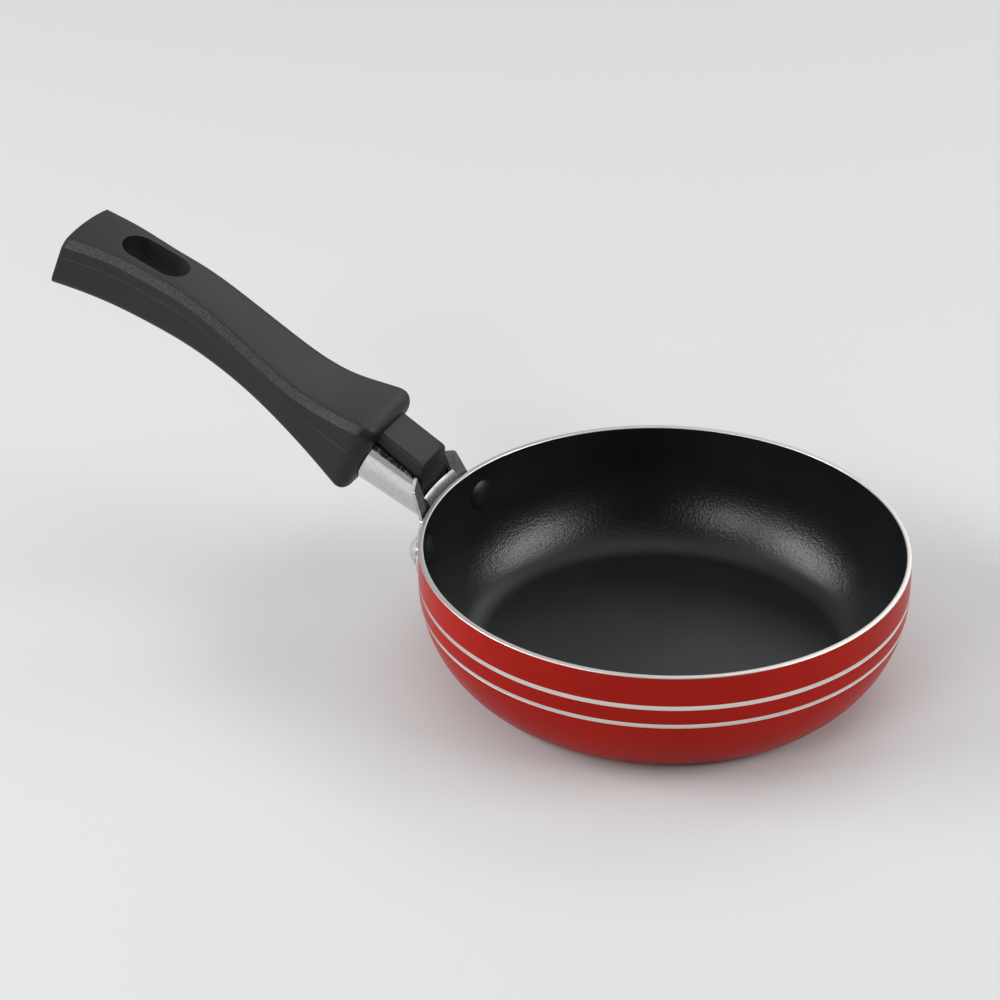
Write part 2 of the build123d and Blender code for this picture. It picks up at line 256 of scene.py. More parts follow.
def nonstick_finish(colour):
    """Satin black coating, hammered on the wall so that highlights break up, plain on the floor."""
    finish = Finish("nonstick_coating", ior=1.44)
    place = finish.place()
    _, _, height = finish.split(place)
    wall = height.ramp(*metres(*FLOOR_TO_WALL))
    dimple = finish.cells(place, 950.0, feature="SMOOTH_F1")
    grain = finish.noise(place, 1700.0, roughness=0.6)
    cloud = finish.noise(place, 30.0, detail=3.0)
    base = finish.mix(cloud.ramp(0.3, 0.75), colour, tint(colour, 1.4, 0.0005))
    base = finish.mix(grain.ramp(0.62, 0.8) * 0.4, base, tint(colour, 2.5, 0.003))
    normal = finish.bump((dimple * 0.7 + grain) * (0.15 + wall * 0.85), 0.0001, 1.0)
    roughness = 0.32 - wall * 0.15 + grain * 0.1 + cloud * 0.04
    return finish.wear(base, roughness, normal)


def phenolic_finish(colour):
    """Moulded black phenolic: satin, with a fine grain and flow marks, and painted light that makes
    upward faces paler.
    """
    finish = Finish("black_phenolic", ior=1.45)
    place = finish.place()
    grain = finish.noise(place, 2400.0)
    flow = finish.noise(finish.scaled(place, 18.0, 60.0, 60.0), 1.0, detail=4.0, distortion=0.4)
    _, _, upward = normals(finish)
    base = finish.mix(flow.ramp(0.3, 0.75), colour, tint(colour, 1.35, 0.002))
    # painted light: faces turned upward are painted paler, as if lit from above
    base = finish.mix(upward.ramp(0.35, 0.85) * (0.8 + flow * 0.2), base, tint(colour, 2.0, 0.003))
    roughness = 0.42 + grain * 0.1 + flow * 0.06
    normal = finish.bump(grain * 0.6 + flow * 0.8, 0.00003, 0.45)
    return finish.wear(base, roughness, normal)


def rough_band_finish(colour):
    """The spark-eroded edge bands of the grip, whose coarse grain fades out near the bolster."""
    finish = Finish("rough_phenolic", ior=1.5)
    place = finish.place()
    along, _, _ = finish.split(place)
    rough = 0.15 + along.ramp(*metres(*SMOOTH_TO_ROUGH)) * 0.85
    coarse = finish.noise(place, 1500.0, detail=3.0, roughness=0.7)
    pits = finish.cells(place, 1900.0)
    speckle = coarse.ramp(0.36, 0.7) * rough
    base = finish.mix(speckle, tint(colour, 1.5, 0.003), tint(colour, 3.5, 0.046))
    normal = finish.bump((coarse + pits * 0.4) * rough, 0.00026, 1.0)
    return finish.wear(base, 0.42 + coarse * 0.25, normal)


def chrome_finish(colour):
    """Bright chrome on drawn sheet with random haze and spots; rougher, and darkened by painted
    shade, on faces turned to the bowl and close under the rim.
    """
    finish = Finish("bright_chrome", metallic=1.0)
    place = finish.place()
    x, y, height, distance = round_axis(finish)
    nx, ny, _ = normals(finish)
    # painted shade: faces turned towards the bowl's axis are darkened, and also made rougher
    haze_and_shade_facing_bowl = (-(nx * x + ny * y) / distance).ramp(0.35, 0.85)
    # painted shade: the sheet close to the wall, just under the rim, is darkened, and also made
    # rougher
    near = distance.ramp(*metres(*(WALL_RADIUS + out for out in CLEAR_TO_SHADE_UNDER_RIM)))
    haze_and_shade_under_rim = near * height.ramp(*metres(*(PAN_HEIGHT - drop for drop in SHADED_TO_TOP)))
    wave = finish.noise(place, 160.0)
    haze = finish.noise(place, 700.0, detail=4.0, roughness=0.65)
    pits = finish.cells(place, 1100.0)
    painted_shade_colour = tint(colour, 0.1)
    spots = haze.ramp(0.54, 0.7) * 0.6 + pits.ramp(0.12, 0.02) * 0.4
    base = finish.mix(spots, colour, tint(colour, 0.55))
    # painted shade goes into the base colour here, from the two masks above
    base = finish.mix(haze_and_shade_facing_bowl * (0.55 + haze * 0.5), base, painted_shade_colour)
    base = finish.mix(haze_and_shade_under_rim * (0.3 + wave.ramp(0.3, 0.8) * 0.25), base, painted_shade_colour)
    roughness = 0.06 + haze.ramp(0.4, 0.75) * 0.16 + haze_and_shade_facing_bowl * 0.3 + haze_and_shade_under_rim * 0.16
    return finish.wear(base, roughness, finish.bump(wave + haze * 0.3, 0.00006, 0.4))


def rivet_finish(colour, coating):
    """Bare aluminium outside the bowl, and the non-stick coating on the heads inside."""
    finish = Finish("rivet_metal")
    place = finish.place()
    *_, distance = round_axis(finish)
    inside = distance.ramp(*metres(*(WALL_RADIUS - depth for depth in BARE_TO_COATED)))
    grain = finish.noise(place, 1400.0, detail=3.0)
    scratch = finish.noise(finish.scaled(place, 300.0, 2600.0, 300.0), 1.0)
    dull = tint((colour[2],) * 3, 0.76)
    metal = finish.mix(grain.ramp(0.35, 0.7), dull, colour)
    black = finish.mix(grain.ramp(0.6, 0.8) * 0.5, coating, tint(coating, 3.0, 0.004))
    base = finish.mix(inside, metal, black)
    roughness = 0.36 + scratch * 0.14 + inside * (grain * 0.1 - 0.08)
    normal = finish.bump(grain + scratch * 0.5, 0.00004, 0.4)
    return finish.wear(base, roughness, normal, metallic=1 - inside)


def plated_finish(name, colour, roughness):
    """A small turned or headed part, plated, with tool rings and slight dulling."""
    finish = Finish(name, metallic=1.0)
    place = finish.place()
    rings = finish.noise(finish.scaled(place, 5200.0, 260.0, 5200.0), 1.0)
    cloud = finish.noise(place, 380.0, detail=3.0)
    base = finish.mix(cloud.ramp(0.35, 0.7), tint(colour, 0.6), colour)
    return finish.wear(base, roughness + rings * 0.15, finish.bump(rings, 0.00003, 0.35))


def table_finish(colour):
    """A pale matt table with a faint drift of tone."""
    finish = Finish("pale_table", ior=1.3, specular_ior_level=0.3)
    place = finish.place()
    drift = finish.noise(place, 1.3)
    ripple = finish.noise(place, 14.0, detail=1.0)
    base = finish.mix(drift, tint(colour, 0.985), colour)
    finish.set_shader(base_color=base, roughness=0.55 + ripple * 0.06)
    return finish.material


def board_finish(colour):
    """Dark cloth over the board behind the camera."""
    finish = Finish("board_cloth", roughness=0.9, specular_ior_level=0.1)
    weave = finish.noise(finish.place(), 90.0)
    finish.set_shader(base_color=finish.mix(weave, colour, tint(colour, 1.3)))
    return finish.material


# ---------- mesh helpers

WELD = 0.000002  # points closer than this become one, in metres
ON_AXIS = 1e-6  # a radius under this is a point on the axis
SHADE_CREASE = 40  # edges sharper than this stay crisp, in degrees
BEVEL_SEGMENTS = 3


def make_piece(name, points, faces, materials, indices=None, smooth=True):
    """A mesh object from points in millimetres, with one material index for each face."""
    mesh = bpy.data.meshes.new(name)
    mesh.from_pydata([tuple(c * MILLIMETRE for c in point) for point in points], [], faces)
    for material in materials:
        mesh.materials.append(material)
    if indices is not None:
        mesh.polygons.foreach_set("material_index", indices)
    mesh.polygons.foreach_set("use_smooth", [smooth] * len(mesh.polygons))
    mesh.validate()
    mesh.update()
    piece = bpy.data.objects.new(name, mesh)
    bpy.context.scene.collection.objects.link(piece)
    return piece


def tidy_normals(piece):
    """Welds doubled points and turns the faces outwards."""
    sheet = bmesh.new()
    sheet.from_mesh(piece.data)
    bmesh.ops.remove_doubles(sheet, verts=sheet.verts, dist=WELD)
    bmesh.ops.recalc_face_normals(sheet, faces=sheet.faces)
    sheet.to_mesh(piece.data)
    sheet.free()


def apply_modifiers(piece):
    """Turns a piece's modified shape into its mesh."""
    graph = bpy.context.evaluated_depsgraph_get()
    mesh = bpy.data.meshes.new_from_object(piece.evaluated_get(graph))
    piece.modifiers.clear()
    piece.data = mesh


def sharp_edges(piece, angle):
    """Marks the edges over an angle as sharp, so that the rest shade smoothly."""
    sheet = bmesh.new()
    sheet.from_mesh(piece.data)
    for edge in sheet.edges:
        if len(edge.link_faces) == 2:
            edge.smooth = edge.calc_face_angle(0.0) < math.radians(angle)
    sheet.to_mesh(piece.data)
    sheet.free()


def soften(piece, width, angle):
    """Rounds the edges over an angle and leaves the rest smooth."""
    bevel = piece.modifiers.new("edges", "BEVEL")
    bevel.width = width * MILLIMETRE
    bevel.segments = BEVEL_SEGMENTS
    bevel.limit_method = "ANGLE"
    bevel.angle_limit = math.radians(angle)
    bevel.harden_normals = False
    apply_modifiers(piece)
    piece.data.polygons.foreach_set("use_smooth", [True] * len(piece.data.polygons))
    sharp_edges(piece, SHADE_CREASE)


def arc(centre, radius, start, end, steps):
    """Points on an arc, from one angle to another in degrees."""
    angles = np.radians(np.linspace(start, end, steps))
    return [(centre[0] + radius * math.cos(a), centre[1] + radius * math.sin(a)) for a in angles]


def sloped(angle):
    """Directions along and square to a slope, which falls towards the bowl."""
    slope = math.radians(angle)
    forward = np.array((math.cos(slope), 0.0, -math.sin(slope)))
    return forward, np.array((math.sin(slope), 0.0, math.cos(slope)))


def line(start, end, steps):
    """Points on a straight run, without its first."""
    return [
        tuple(a + (b - a) * share for a, b in zip(start, end))
        for share in np.linspace(0, 1, steps + 1)[1:]
    ]


def bridge(lower, upper):
    """Faces between two closed loops of point numbers."""
    return list(zip(lower, [*lower[1:], lower[0]], [*upper[1:], upper[0]], upper))


def lathe(profile, marks, segments):
    """Turns a profile of (radius, height) about Z, with a material index for each stretch of it."""
    points, faces, indices, rings = [], [], [], []
    for radius, height in profile:
        if radius < ON_AXIS:
            rings.append([len(points)])
            points.append((0.0, 0.0, height))
            continue
        rings.append(list(range(len(points), len(points) + segments)))
        for step in range(segments):
            turn = 2 * math.pi * step / segments
            points.append((radius * math.cos(turn), radius * math.sin(turn), height))
    for upper, lower, mark in zip(rings, rings[1:], marks):
        for step in range(segments):
            follow = (step + 1) % segments
            if len(lower) == 1:
                face = (upper[step], lower[0], upper[follow])
            elif len(upper) == 1:
                face = (upper[0], lower[step], lower[follow])
            else:
                face = (upper[step], lower[step], lower[follow], upper[follow])
            faces.append(face)
            indices.append(mark)
    return points, faces, indices


# ---------- the bowl

LACQUER, METAL, COATING = 0, 1, 2  # material indices
# Points on each stretch of the section
RIM_STEPS, SIDE_STEPS, HEEL_STEPS, LINE_STEPS, LOW_WALL_STEPS = 6, 22, 14, 4, 16
WALL_PITCH = 1.5  # between points on the lacquered wall, in mm
FLANK = 0.6  # how far a turned line's or ring's flank runs for its depth
LACQUER_MARGIN = 0.4  # where the lacquer ends, inwards from the heel, in mm
BOWL_CREASE = 28  # degrees


class BowlCurve:
    """The wall as an upright run, a side arc and a heel arc down to a flat floor."""

    def __init__(self, sizes, grow):
        self.top = WALL_RADIUS + grow
        self.side_level = PAN_HEIGHT - sizes.side_start_drop
        self.side = sizes.side_radius + grow
        self.heel = sizes.heel_radius + grow
        self.floor = -grow
        reach = self.side - self.heel
        rise = self.side_level - self.floor - self.heel
        run = math.sqrt(reach**2 - rise**2)
        self.side_x = self.top - self.side
        self.heel_x = self.side_x + run
        self.lean = math.degrees(math.atan2(rise, run))

    def side_points(self, start, end, steps):
        return arc((self.side_x, self.side_level), self.side, start, end, steps)

    def heel_points(self, steps):
        return arc((self.heel_x, self.floor + self.heel), self.heel, -self.lean, -90, steps)

    def radius_at(self, level):
        if level >= self.side_level:
            return self.top
        drop = self.side_level - level
        return self.side_x + math.sqrt(self.side**2 - drop**2)


class Section:
    """A line of (radius, height) points, with a material index for each stretch between two."""

    def __init__(self, start):
        self.points = [start]
        self.marks = []

    def run(self, points, mark):
        self.points.extend(points)
        self.marks.extend([mark] * len(points))


def inner_section(sizes):
    """From the rim's outer edge over the rim and down the coated inside to the floor's middle."""
    curve = BowlCurve(sizes, -sizes.rim_thickness)
    edge = sizes.rim_edge
    low = PAN_HEIGHT - edge
    section = Section((WALL_RADIUS, low))
    section.run(arc((WALL_RADIUS - edge, low), edge, 0, 90, RIM_STEPS)[1:], METAL)
    section.run([(curve.top + edge, PAN_HEIGHT)], METAL)
    section.run(arc((curve.top + edge, low), edge, 90, 180, RIM_STEPS)[1:], METAL)
    section.run(line(section.points[-1], (curve.top, curve.side_level), RIM_STEPS), COATING)
    section.run(curve.side_points(0, -curve.lean, SIDE_STEPS)[1:], COATING)
    section.run(curve.heel_points(HEEL_STEPS)[1:], COATING)
    section.run(line(section.points[-1], (0.0, sizes.floor_thickness), HEEL_STEPS), COATING)
    return section


def outer_section(sizes):
    """From the rim's outer edge down the lacquered wall and its bare lines to the base's middle."""
    curve = BowlCurve(sizes, 0)
    sunk = BowlCurve(sizes, -sizes.line_depth)
    level = PAN_HEIGHT - sizes.rim_edge
    lip = sizes.line_depth * FLANK
    section = Section((WALL_RADIUS, level))
    for index in range(sizes.line_count):
        middle = PAN_HEIGHT - sizes.line_drop - index * sizes.line_pitch
        top, bottom = middle + sizes.line_height / 2, middle - sizes.line_height / 2
        section.run(wall_run(curve, level, top), LACQUER)
        section.run([(sunk.radius_at(top - lip), top - lip)], METAL)
        section.run(wall_run(sunk, top - lip, bottom + lip, LINE_STEPS), METAL)
        section.run([(curve.radius_at(bottom), bottom)], METAL)
        level = bottom
    side_end = curve.side_level - curve.side * math.sin(math.radians(curve.lean))
    section.run(wall_run(curve, level, side_end, LOW_WALL_STEPS), LACQUER)
    section.run(curve.heel_points(HEEL_STEPS)[1:], LACQUER)
    section.run(base_rings(sizes, curve.heel_x), METAL)
    section.run([(0.0, 0.0)], METAL)
    return section


def wall_run(curve, start, end, steps=0):
    """Points down a wall curve between two heights, without the first."""
    steps = steps or max(2, int(abs(start - end) / WALL_PITCH))
    levels = np.linspace(start, end, steps + 1)[1:]
    return [(curve.radius_at(level), level) for level in levels]


def base_rings(sizes, flat_radius):
    """The turned rings in the base, from the heel inwards."""
    points = [(flat_radius - LACQUER_MARGIN, 0.0)]
    starts = [sizes.ring_inner + index * sizes.ring_pitch for index in range(sizes.ring_count)]
    slope = sizes.ring_depth * FLANK
    for start in reversed(starts):
        end = start + sizes.ring_width
        points += [
            (end, 0.0), (end - slope, sizes.ring_depth),
            (start + slope, sizes.ring_depth), (start, 0.0),
        ]
    return points


class PAN_OT_bowl(bpy.types.Operator):
    """Turns the bowl: lacquered wall, two bare lines, machined rim, coated inside, ringed base"""

    bl_idname = "omelette_pan.bowl"
    bl_label = "Bowl"

    def execute(self, context):
        sizes = context.scene.pan_sizes
        colours = context.scene.pan_colours
        inside, outside = inner_section(sizes), outer_section(sizes)
        materials = [
            lacquer_finish(colours.lacquer),
            turned_metal_finish(colours.bare_metal),
            nonstick_finish(colours.coating),
        ]
        profile = outside.points[::-1] + inside.points[1:]
        marks = outside.marks[::-1] + inside.marks
        points, faces, indices = lathe(profile, marks, sizes.segments)
        piece = make_piece("bowl", points, faces, materials, indices)
        tidy_normals(piece)
        sharp_edges(piece, BOWL_CREASE)
        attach(piece, BODY)
        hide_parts("pan_body")
        return {"FINISHED"}


# ---------- the grip


class Spline:
    """A natural cubic spline through evenly spaced values, at places counted in steps."""

    def __init__(self, values):
        self.values = np.asarray(values, float)
        count = len(self.values)
        system = np.eye(count)
        right = np.zeros(count)
        for row in range(1, count - 1):
            system[row, row - 1 : row + 2] = (1, 4, 1)
            right[row] = 6 * (self.values[row - 1] - 2 * self.values[row] + self.values[row + 1])
        self.bend = np.linalg.solve(system, right)

    def __call__(self, where):
        left = np.clip(np.floor(where).astype(int), 0, len(self.values) - 2)
        share = where - left
        rest = 1 - share
        bend = (rest**3 - rest) * self.bend[left] + (share**3 - share) * self.bend[left + 1]
        return rest * self.values[left] + share * self.values[left + 1] + bend / 6


# Shares of the ridge's rise, the bolster's width and its depth at even stations
RIDGE_SHARES = (0, 0.047, 0.102, 0.215, 0.381, 0.552, 0.698, 0.80, 0.894, 0.954, 1)
WIDTH_SHARES = (1, 0.941, 0.842, 0.78, 0.723, 0.677, 0.664, 0.681, 0.738, 0.835, 0.938)
DEPTH_SHARES = (1, 0.765, 0.551, 0.416, 0.382, 0.40, 0.422, 0.424, 0.426, 0.407, 0.395)
# Half a section from the top's middle down to the belly's: kind, shares and whether it is rough
OUTLINE = (
    ("crown", np.linspace(0, 1, 9), 0),
    ("band", (0.08, 0.3, 0.5, 0.7, 0.92, 1.0), 1),
    ("side", (0.04, 0.12, 0.22, 0.3, 0.31), 0),
    ("side", (0.32, 0.33), 1),
    ("side", (0.34, 0.5, 0.7, 0.9, 1), 0),
    ("belly", (0.2, 0.4, 0.6, 0.8, 1.0), 0),
    ("foot", (0.2, 0.4, 0.6, 0.8, 1.0), 0),
)
PARTING, FLASH = 0.32, 0.11  # share of the side where the mould parts, and its ridge's height
BAND_SWELL = 0.098  # how far the band stands out at its middle
BAND_BREAK, SIDE_BREAK = 0.12, 0.1  # how far the band's two edges are eased
# Rows of points along the grip, behind the bolster's end and before the tail's
BOLSTER_ROWS = (0, 0.05, 0.2, 0.45, 0.8, 1.25, 1.8, 2.5, 3.3, 4.2, 5.2, 6.2, 7.4, 9, 11, 13.5)
TAIL_ROWS = (7, 5, 3, 1.9, 1.3, 0.9, 0.55, 0.3, 0.12, 0.03, 0)
MIDDLE_ROWS, AFTER_BOLSTER, BEFORE_TAIL = 64, 16, 9
# Where rows stop being parallel to an end face, and over how long they turn upright
BOLSTER_HOLD, BOLSTER_TURN = 9, 36
TAIL_HOLD, TAIL_TURN = 6, 26
# How far past the grip's two ends a row's place is looked for, and in how many halvings
SEARCH_BELOW, SEARCH_ABOVE, HALVINGS = 12, 8, 40
SIDE_POWER, CORNER_POWER = 3, 6  # how sharply the rounding changes towards sides and corners
BAND_OFF_BOLSTER, BAND_OFF_TAIL = 5.5, 1.5  # where the rough bands end
CAP_COLUMNS = 12  # faces across the tail
CUTTER_HALF, SLOT_STEPS = 30.0, 25  # half the slot cutter's height, and points on its ends
# Loops along the tongue, its length inside the bolster and points round its underside
TONGUE_LOOPS, TONGUE_INSIDE, CORE_STEPS = 9, 5.0, 18
GRIP_EDGE, GRIP_CREASE = 0.5, 50  # rounding in mm, and degrees


class GripForm:
    """The waisted grip's surface: a place along the handle and a place round its section."""

    def __init__(self, sizes):
        self.sizes = sizes
        self.pitch = sizes.grip_length / (len(RIDGE_SHARES) - 1)
        self.ridge, self.width, self.depth = map(Spline, (RIDGE_SHARES, WIDTH_SHARES, DEPTH_SHARES))
        self.outline = [(kind, share, mark) for kind, shares, mark in OUTLINE for share in shares]

    def section(self, reach, kind, share):
        """Sideways and upright places of one outline point at distances along the handle."""
        sizes = self.sizes
        step = (reach - sizes.grip_start) / self.pitch
        ridge = PAN_HEIGHT + sizes.ridge_start + sizes.ridge_rise * self.ridge(step)
        half = sizes.bolster_width / 2 * self.width(step)
        belly = ridge - sizes.bolster_depth * self.depth(step)
        foot = half - sizes.side_draft
        band = sizes.band_width
        top = ridge + band
        radius = sizes.belly_radius
        if kind == "crown":
            return (half - band) * share, top + sizes.crown * (1 - share**2) - BAND_BREAK * share**8
        if kind == "band":
            out = BAND_SWELL * math.sin(math.pi * share) - BAND_BREAK * (1 - share) ** 4
            return half - band * (1 - share) + out, top - band * share + out
        if kind == "side":
            out = (FLASH if share == PARTING else 0.0) - SIDE_BREAK * (1 - share) ** 12
            low = belly + radius
            return half + (foot - half) * share + out, ridge + (low - ridge) * share
        if kind == "belly":
            turn = math.radians(90 * share)
            return foot - radius * (1 - math.cos(turn)), belly + radius * (1 - math.sin(turn))
        return (foot - radius) * (1 - share), belly

    def ring_marks(self):
        """Material marks for the faces between outline points, once round the section."""
        half = [mark for _, _, mark in self.outline[1:]]
        return half + half[::-1]


class BolsterPlane:
    """Distances behind the bolster's end face, which leans a little from square."""

    def __init__(self, sizes):
        self.forward, self.up = sloped(sizes.tongue_slope - sizes.bolster_lean)
        self.root = np.array((-sizes.tongue_reach, 0.0, PAN_HEIGHT + sizes.tongue_rise))

    def behind(self, reach, side, level):
        x, _, z = self.root
        return (reach + x) * self.forward[0] - (level - z) * self.forward[2]


class TailFace:
    """Distances in front of the tail's leaning, bowed face."""

    def __init__(self, sizes):
        half = sizes.bolster_width * WIDTH_SHARES[-1] / 2
        self.bow = (half**2 + sizes.tail_bulge**2) / (2 * sizes.tail_bulge)
        self.out, self.up = sloped(sizes.tail_lean)
        ridge = PAN_HEIGHT + sizes.ridge_start + sizes.ridge_rise
        self.tip = np.array((-sizes.tail_reach - sizes.tail_bulge, 0.0, ridge))

    def before(self, reach, side, level):
        local = (-reach - self.tip[0]) * self.out[0] + (level - self.tip[2]) * self.out[2]
        return local - (self.bow - np.sqrt(np.maximum(self.bow**2 - side**2, 0.0)))


def grip_rows(form, bolster, tail):
    """Loops of points along the grip, parallel to the nearer end face and upright in between."""
    start = solve_reach(form, "band", 1.0, bolster.behind, 1)[0]
    end = solve_reach(form, "band", 1.0, lambda *place: -tail.before(*place), 1)[0]
    middle = np.linspace(start + AFTER_BOLSTER, end - BEFORE_TAIL, MIDDLE_ROWS)
    ridge = np.concatenate([start + np.array(BOLSTER_ROWS), middle, end - np.array(TAIL_ROWS)])
    side, level = form.section(ridge, "band", 1.0)
    behind = bolster.behind(ridge, side, level)
    before = tail.before(ridge, side, level)
    to_bolster = 1 - ease((behind - BOLSTER_HOLD) / BOLSTER_TURN)
    to_tail = 1 - ease((before - TAIL_HOLD) / TAIL_TURN)

    def gap(reach, side, level):
        return (
            to_bolster * (bolster.behind(reach, side, level) - behind)
            + to_tail * (before - tail.before(reach, side, level))
            + (1 - to_bolster - to_tail) * (reach - ridge)
        )

    columns = []
    for kind, share, _ in form.outline:
        reach = solve_reach(form, kind, share, gap, len(ridge))
        side, level = form.section(reach, kind, share)
        columns.append(np.stack([-reach, side + reach * 0, level], axis=1))
    half = np.stack(columns, axis=1)
    other = half[:, -2:0:-1] * (1, -1, 1)
    return np.concatenate([half, other], axis=1), behind, before


def solve_reach(form, kind, share, gap, count):
    """How far along the handle each of some rising gaps is nought on one line of the outline."""
    start, span = form.sizes.grip_start, form.sizes.grip_length
    low, high = np.full(count, start - SEARCH_BELOW), np.full(count, start + span + SEARCH_ABOVE)
    for _ in range(HALVINGS):
        middle = (low + high) / 2
        short = gap(middle, *form.section(middle, kind, share)) < 0
        low, high = np.where(short, middle, low), np.where(short, high, middle)
    return (low + high) / 2


def ease(value):
    """Rises smoothly from 0 to 1 as the value does."""
    value = np.clip(value, 0.0, 1.0)
    return value * value * (3 - 2 * value)


def rounded_row(row, depth, plane_up, radii, centre):
    """Draws a loop in towards its middle, as a rounded edge does at a distance from the end."""
    side_radius, top_radius, low_radius, corner_spare = radii
    deepest = max(radii) + corner_spare
    if depth >= deepest:
        return row
    upward = (row - centre) @ plane_up
    top, low = upward.max(), upward.min()
    half = np.abs(row[:, 1]).max()
    share = (upward - low) / (top - low)
    moved_up = low + low_radius + share * (top - low - top_radius - low_radius)
    target_side = row[:, 1] * (half - side_radius) / half
    weight_side = np.abs(row[:, 1]) / half
    flat_radius = top_radius * share + low_radius * (1 - share)
    radius = flat_radius + (side_radius - flat_radius) * weight_side**SIDE_POWER
    radius = radius + corner_spare * (weight_side * share) ** CORNER_POWER
    left = np.clip(1 - depth / radius, 0.0, 1.0)
    pull = 1 - np.sqrt(np.maximum(1 - left**2, 0.0))
    out = row.copy()
    out += np.outer((moved_up - upward) * pull, plane_up)
    out[:, 1] += (target_side - row[:, 1]) * pull
    return out


def grip_mesh(sizes):
    """Points, faces and marks of the grip, closed at both ends."""
    form, bolster, tail = GripForm(sizes), BolsterPlane(sizes), TailFace(sizes)
    points, faces, marks = [], [], []
    rows, behinds, befores = grip_rows(form, bolster, tail)
    ring_marks = form.ring_marks()
    count = rows.shape[1]
    bolster_radii = (
        sizes.bolster_corner, sizes.bolster_brow, sizes.bolster_lobe, sizes.bolster_spare,
    )
    tail_radii = (sizes.tail_corner,) * 3 + (0.0,)
    for row, behind, before in zip(rows, behinds, befores):
        row = rounded_row(row, behind, bolster.up, bolster_radii, bolster.root)
        row = rounded_row(row, before, tail.up, tail_radii, tail.tip)
        points.extend(map(tuple, row))
    for index in range(len(rows) - 1):
        banded = behinds[index] > BAND_OFF_BOLSTER and befores[index] > BAND_OFF_TAIL
        base = index * count
        faces += bridge(range(base, base + count), range(base + count, base + 2 * count))
        marks += ring_marks if banded else [0] * count
    faces.append(tuple(range(count)))
    marks.append(0)
    cap_tail(points, faces, marks, (len(rows) - 1) * count, count, tail)
    return points, faces, marks


def cap_tail(points, faces, marks, base, count, tail):
    """Closes the bowed tail with strips across it, which follow the bow."""
    half = count // 2
    ladder = []
    for step in range(1, half):
        left, right = base + step, base + count - step
        start = np.array(points[left])
        height = (start - tail.tip) @ tail.up
        rung = [left]
        for column in range(1, CAP_COLUMNS):
            side = start[1] * (1 - 2 * column / CAP_COLUMNS)
            out = tail.bow - math.sqrt(tail.bow**2 - side**2)
            place = tail.tip + tail.out * out + tail.up * height
            rung.append(len(points))
            points.append((place[0], side, place[2]))
        ladder.append(rung + [right])
    for upper, lower in zip(ladder, ladder[1:]):
        for column in range(CAP_COLUMNS):
            faces.append((upper[column], lower[column], lower[column + 1], upper[column + 1]))
            marks.append(0)
    faces.append((base, *ladder[0]))
    faces.append((base + half, *reversed(ladder[-1])))
    marks.extend((0, 0))


def slot_cutter(sizes):
    """A long round-ended prism, square to the grip's top at the hanging slot."""
    forward, up = sloped(sizes.slot_slope)
    level = PAN_HEIGHT + sizes.ridge_start + sizes.ridge_rise - sizes.bolster_depth / 4
    centre = np.array((-sizes.slot_reach, 0.0, level))
    radius = sizes.slot_width / 2
    straight = sizes.slot_length / 2 - radius
    outline = arc((straight, 0), radius, -90, 90, SLOT_STEPS)
    outline += arc((-straight, 0), radius, 90, 270, SLOT_STEPS)
    points = []
    for height in (-CUTTER_HALF, CUTTER_HALF):
        for x, y in outline:
            place = centre - forward * x + up * height
            points.append((place[0], y, place[2]))
    count = len(outline)
    lower, upper = tuple(range(count)), tuple(range(count, 2 * count))
    cutter = make_piece("slot_cutter", points, [lower, upper, *bridge(lower, upper)], [])
    tidy_normals(cutter)
    return cutter


def tongue_mesh(sizes):
    """The tongue: flat and chamfered on top, round below, cut upright short of the wall."""
    forward, up = sloped(sizes.tongue_slope)
    root = np.array((-sizes.tongue_reach, 0.0, PAN_HEIGHT + sizes.tongue_rise))
    points, faces, marks, loops = [], [], [], []
    for share in np.linspace(0, 1, TONGUE_LOOPS):
        half = tongue_outline(sizes, share)
        loop = half + [(-side, level, mark) for side, level, mark in half[-2:0:-1]]
        ring = []
        for side, level, _ in loop:
            back = root + up * level - forward * TONGUE_INSIDE
            run = (-sizes.tongue_nose_reach - back[0]) / forward[0]
            spot = back + forward * run * share
            ring.append(len(points))
            points.append((spot[0], side, spot[2]))
        loops.append(ring)
    marked = [mark for _, _, mark in tongue_outline(sizes, 0)[1:]]
    marked += marked[::-1]
    for first, second in zip(loops, loops[1:]):
        faces += bridge(first, second)
        marks += marked
    faces += [tuple(loops[0]), tuple(loops[-1])]
    marks += [0, 0]
    return points, faces, marks


def tongue_outline(sizes, share):
    """Half the tongue's section, from the top's middle to the bottom's, with material marks."""
    half, edge = sizes.tongue_width / 2, sizes.tongue_edge
    radius = sizes.core_back_radius + (sizes.core_front_radius - sizes.core_back_radius) * share
    drop = sizes.core_back_drop + (sizes.core_front_drop - sizes.core_back_drop) * share
    start = math.degrees(math.acos(half / radius))
    shoulder = -drop + radius * math.sin(math.radians(start))
    outline = [(0.0, 0.0, 0), (half * 0.5, 0.0, 0), (half - edge, 0.0, 0)]
    outline += [(half - edge / 2, -edge / 2, 1), (half, -edge, 1)]
    outline += [(half, -edge + (shoulder + edge) * part, 0) for part in (0.33, 0.66, 1.0)]
    curve = arc((0.0, -drop), radius, start, -90, CORE_STEPS)[1:]
    outline += [(side, level, 0) for side, level in curve]
    outline[-1] = (0.0, outline[-1][1], 0)
    return outline


